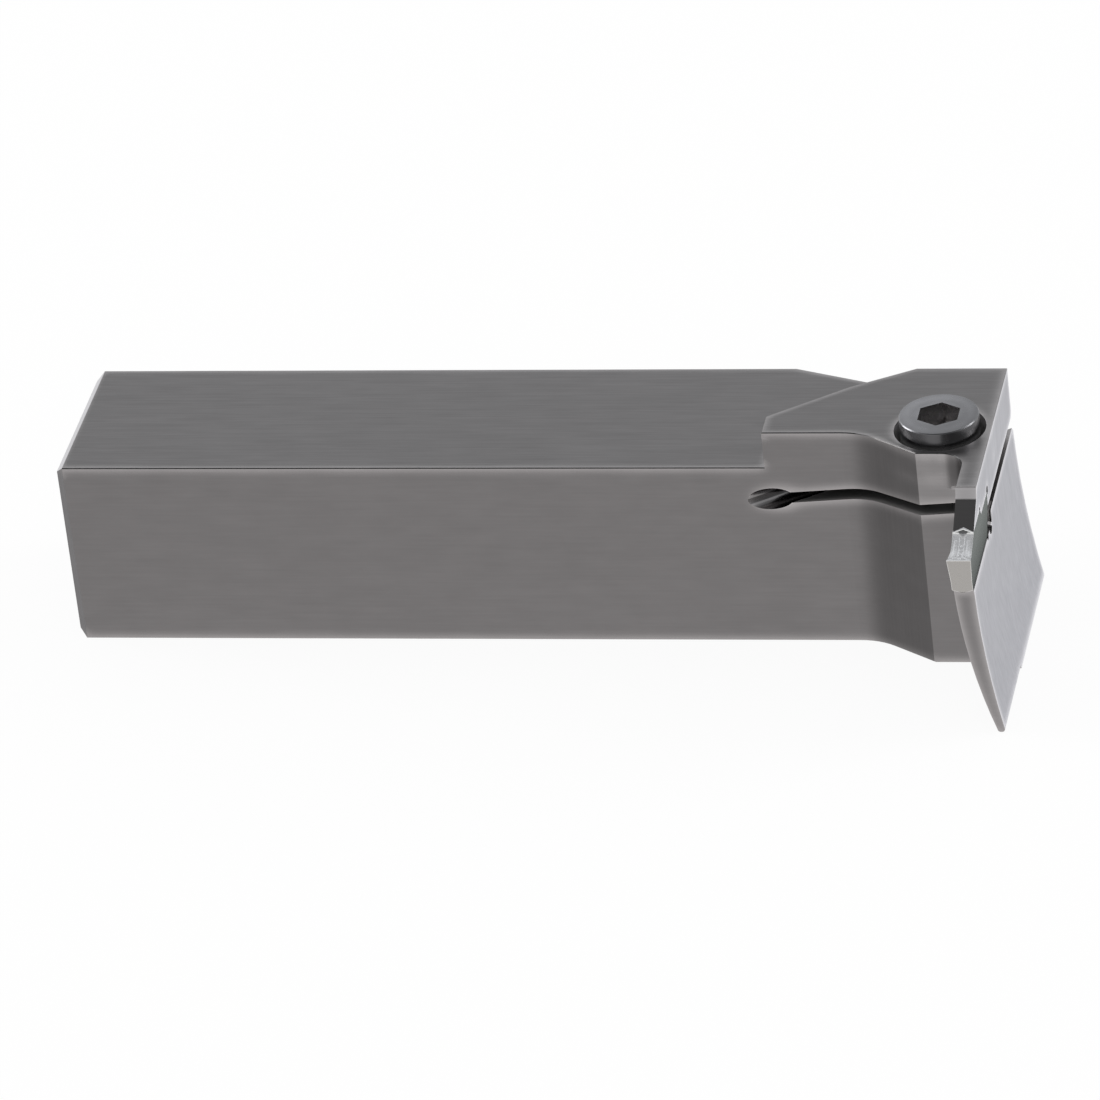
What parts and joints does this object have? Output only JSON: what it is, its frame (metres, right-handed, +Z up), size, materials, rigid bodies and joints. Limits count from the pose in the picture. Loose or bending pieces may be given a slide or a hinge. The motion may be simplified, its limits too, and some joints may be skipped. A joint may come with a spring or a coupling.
{
  "type": "turning tool holder",
  "caption": "Square-shank lathe tool holder for face grooving, with a curved support blade, a slit spring jaw, a socket-head clamp screw and a grooving insert.",
  "frame": {"origin": "centre of the flat rear end face of the square shank", "axes": "+X along the shank to the head, -Y the way the cutting edge plunges into the face of the work, +Z up, with the cutting edge level with the top of the shank"},
  "size_m": [0.1221, 0.0475, 0.032],
  "materials": {
    "holder_steel": "fine ground and hardened tool steel, satin grey",
    "screw_steel": "dark polished alloy steel",
    "carbide": "ground cemented carbide, pale grey top, grey-green sides"
  },
  "bodies": {
    "holder": {"holder_body": "holder_steel"},
    "screw": {"clamp_screw": "screw_steel"},
    "insert": {"cutting_insert": "carbide"}
  },
  "joints": [
    {"name": "screw_turn", "type": "hinge", "parent": "holder", "child": "screw", "pos_m": [0.11325, -0.0114, 0.0135], "axis": [0, 0, 1], "range_deg": [0, 720]},
    {"name": "insert_slide", "type": "slide", "parent": "holder", "child": "insert", "axis": [0, -1, 0], "range_m": [0, 0.018]}
  ]
}
